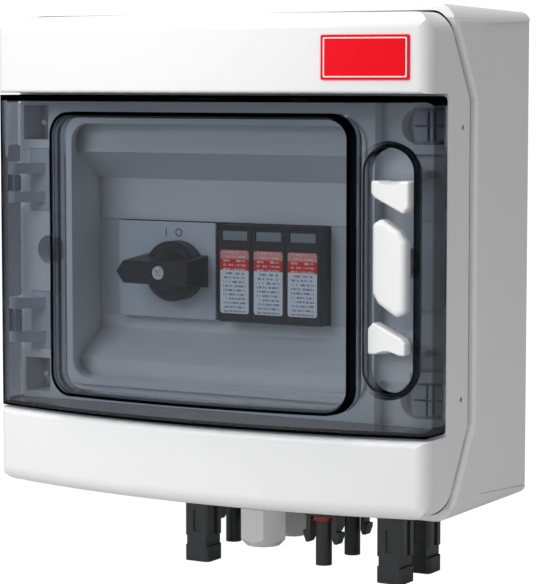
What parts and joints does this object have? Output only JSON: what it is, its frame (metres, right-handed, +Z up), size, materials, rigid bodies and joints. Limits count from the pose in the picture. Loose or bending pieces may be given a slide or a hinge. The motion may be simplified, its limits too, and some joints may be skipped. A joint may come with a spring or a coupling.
{
  "type": "dc combiner box",
  "caption": "Wall-mounted plastic dc combiner box with hinged tinted door, squeeze latch, rotary isolator, plug-in surge arresters, panel connectors and cable glands.",
  "frame": {"origin": "centre of the back face of the base, on the wall plane", "axes": "+X to the right seen from the front, +Y into the wall, +Z up"},
  "size_m": [0.227, 0.1206, 0.2568],
  "materials": {
    "housing": "fine satin moulding",
    "gasket": "matt foam cord",
    "mask_filler": "satin",
    "cover_screw": "satin",
    "badge": "printed gloss",
    "tinted_door": "smoke tinted polycarbonate, polished",
    "hinge": "satin",
    "latch": "satin gloss",
    "zinc_rail": "zinc plated",
    "steel": "bright plated",
    "device_black": "fine spark texture",
    "device_grey": "satin",
    "terminal": "plated",
    "label": "printed film",
    "connector": "satin",
    "contact": "tin plated",
    "ring_red": "smooth silicone",
    "gland": "satin polyamide",
    "seal_rubber": "smooth"
  },
  "bodies": {
    "base": {"base_box": "housing", "cover_gasket": "gasket", "din_rail": "zinc_rail", "rail_screws": "steel", "isolator_body": "device_black", "isolator_plate": "device_grey", "isolator_terminals": "terminal", "spd_base": "device_black", "spd_terminals": "terminal", "out_socket": "connector", "out_plug": "connector", "in_plug_front": "connector", "in_plug_rear": "connector", "in_socket_front": "connector", "in_socket_rear": "connector", "connector_nuts": "connector", "connector_contacts": "contact", "plug_rings": "ring_red", "gland_body": "gland", "gland_seal": "seal_rubber", "small_gland_body": "gland", "small_gland_seal": "seal_rubber", "gland_nuts": "gland"},
    "cover": {"front_cover": "housing", "blank_left": "mask_filler", "blank_right": "mask_filler", "badge": "badge", "hinge_bracket_upper": "hinge", "hinge_bracket_lower": "hinge", "hinge_pins": "steel"},
    "door": {"door": "tinted_door", "latch_grip": "latch"},
    "latch_upper": {"latch_tab_upper": "latch"},
    "latch_lower": {"latch_tab_lower": "latch"},
    "screw_hinge_upper": {"screws_hinge_side_upper": "cover_screw"},
    "screw_hinge_lower": {"screws_hinge_side_lower": "cover_screw"},
    "screw_latch_upper": {"screws_latch_side_upper": "cover_screw"},
    "screw_latch_lower": {"screws_latch_side_lower": "cover_screw"},
    "knob": {"isolator_knob": "device_black", "knob_screw": "steel"},
    "plug_1": {"spd_plug_1": "device_black", "spd_label_1": "label"},
    "plug_2": {"spd_plug_2": "device_black", "spd_label_2": "label"},
    "plug_3": {"spd_plug_3": "device_black", "spd_label_3": "label"},
    "gland_cap_large": {"gland_cap": "gland"},
    "gland_cap_small": {"small_gland_cap": "gland"}
  },
  "joints": [
    {"name": "cover_lift_off", "type": "slide", "parent": "base", "child": "cover", "axis": [0, -1, 0], "range_m": [0, 0.1]},
    {"name": "door_swing", "type": "hinge", "parent": "cover", "child": "door", "pos_m": [-0.1069, -0.091, 0], "axis": [0, 0, -1], "range_deg": [0, 105]},
    {"name": "upper_latch_squeeze", "type": "slide", "parent": "door", "child": "latch_upper", "axis": [0, 0, -1], "range_m": [0, 0.005]},
    {"name": "lower_latch_squeeze", "type": "slide", "parent": "door", "child": "latch_lower", "axis": [0, 0, 1], "range_m": [0, 0.005]},
    {"name": "screw_hinge_upper_turn", "type": "hinge", "parent": "cover", "child": "screw_hinge_upper", "pos_m": [-0.1, -0.068, 0.0595], "axis": [0, 1, 0], "range_deg": [0, 90]},
    {"name": "screw_hinge_lower_turn", "type": "hinge", "parent": "cover", "child": "screw_hinge_lower", "pos_m": [-0.1, -0.068, -0.0595], "axis": [0, 1, 0], "range_deg": [0, 90]},
    {"name": "screw_latch_upper_turn", "type": "hinge", "parent": "cover", "child": "screw_latch_upper", "pos_m": [0.1, -0.068, 0.0595], "axis": [0, 1, 0], "range_deg": [0, 90]},
    {"name": "screw_latch_lower_turn", "type": "hinge", "parent": "cover", "child": "screw_latch_lower", "pos_m": [0.1, -0.068, -0.0595], "axis": [0, 1, 0], "range_deg": [0, 90]},
    {"name": "handle_turn", "type": "hinge", "parent": "base", "child": "knob", "pos_m": [-0.0367, -0.07, -0.009], "axis": [0, 1, 0], "range_deg": [0, 90]},
    {"name": "plug_1_pull", "type": "slide", "parent": "base", "child": "plug_1", "axis": [0, -1, 0], "range_m": [0, 0.022]},
    {"name": "plug_2_pull", "type": "slide", "parent": "base", "child": "plug_2", "axis": [0, -1, 0], "range_m": [0, 0.022]},
    {"name": "plug_3_pull", "type": "slide", "parent": "base", "child": "plug_3", "axis": [0, -1, 0], "range_m": [0, 0.022]},
    {"name": "large_gland_cap_turn", "type": "hinge", "parent": "base", "child": "gland_cap_large", "pos_m": [0.007, -0.057, -0.125], "axis": [0, 0, 1], "range_deg": [0, 180]},
    {"name": "small_gland_cap_turn", "type": "hinge", "parent": "base", "child": "gland_cap_small", "pos_m": [0.007, -0.0295, -0.125], "axis": [0, 0, 1], "range_deg": [0, 180]}
  ]
}
